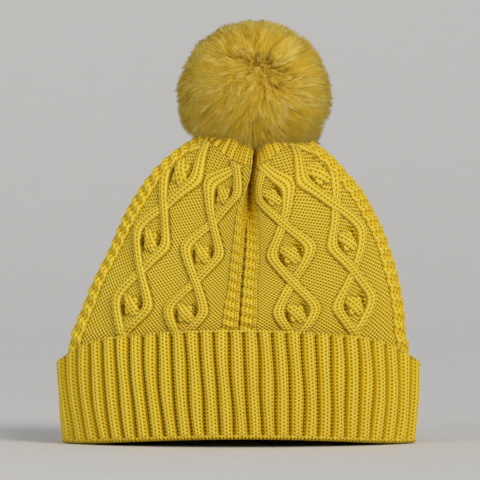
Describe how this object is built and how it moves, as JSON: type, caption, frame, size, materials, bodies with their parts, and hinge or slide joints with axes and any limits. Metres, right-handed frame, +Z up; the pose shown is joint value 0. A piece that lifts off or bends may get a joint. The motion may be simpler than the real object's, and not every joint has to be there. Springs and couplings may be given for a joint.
{
  "type": "pom pom beanie",
  "caption": "Cable-knit beanie with a turned-up ribbed cuff, a gathered crown and a detachable faux-fur pom-pom on a press fastener.",
  "frame": {"origin": "centre of the head opening, in the plane that the cuff rests on", "axes": "+Z up through the crown to the pom-pom, +X to the wearer's left, -Y out of the front"},
  "size_m": [0.237, 0.122, 0.2744],
  "materials": {
    "knit": "matt mustard-yellow acrylic knit",
    "fur": "soft mustard-yellow faux fur with a low sheen",
    "felt": "pressed felt",
    "cord": "braided polyester cord",
    "backing": "knitted fur backing",
    "filling": "loose polyester fibre",
    "label": "blank woven satin",
    "nickel": "nickel-plated brass"
  },
  "bodies": {
    "cuff": {"turn_up_cuff": "knit"},
    "crown": {"crown_knit": "knit", "back_seam": "knit", "gather_yarn": "knit", "crown_disc": "felt", "socket_rivet": "nickel", "snap_socket": "nickel"},
    "label": {"care_label": "label"},
    "spring_ring": {"snap_spring": "nickel"},
    "pom_base": {"snap_stud": "nickel", "stud_rivet": "nickel", "pom_base_disc": "felt"},
    "pom_neck": {"pom_drawstring": "cord"},
    "pom": {"pom_skin": "backing", "pom_filling": "filling", "pom_fur": "fur"}
  },
  "joints": [
    {"name": "cuff_turn_down", "type": "slide", "parent": "cuff", "child": "crown", "axis": [0, 0, 1], "range_m": [0, 0.048]},
    {"name": "label_flip", "type": "hinge", "parent": "crown", "child": "label", "pos_m": [0.0057, 0.0441, 0.089], "axis": [0, 0, -1], "range_deg": [0, 60], "stiffness_Nm_per_rad": 0.00005},
    {"name": "pom_swivel", "type": "hinge", "parent": "crown", "child": "spring_ring", "pos_m": [0.0075, 0, 0.2], "axis": [0, 0, 1], "continuous": true},
    {"name": "pom_unsnap", "type": "slide", "parent": "spring_ring", "child": "pom_base", "axis": [0, 0, 1], "range_m": [0, 0.03]},
    {"name": "pom_nod", "type": "hinge", "parent": "pom_base", "child": "pom_neck", "pos_m": [0.0075, 0, 0.2044], "axis": [1, 0, 0], "range_deg": [-12, 12], "stiffness_Nm_per_rad": 0.06},
    {"name": "pom_sway", "type": "hinge", "parent": "pom_neck", "child": "pom", "pos_m": [0.0075, 0, 0.2044], "axis": [0, 1, 0], "range_deg": [-12, 12], "stiffness_Nm_per_rad": 0.06}
  ]
}
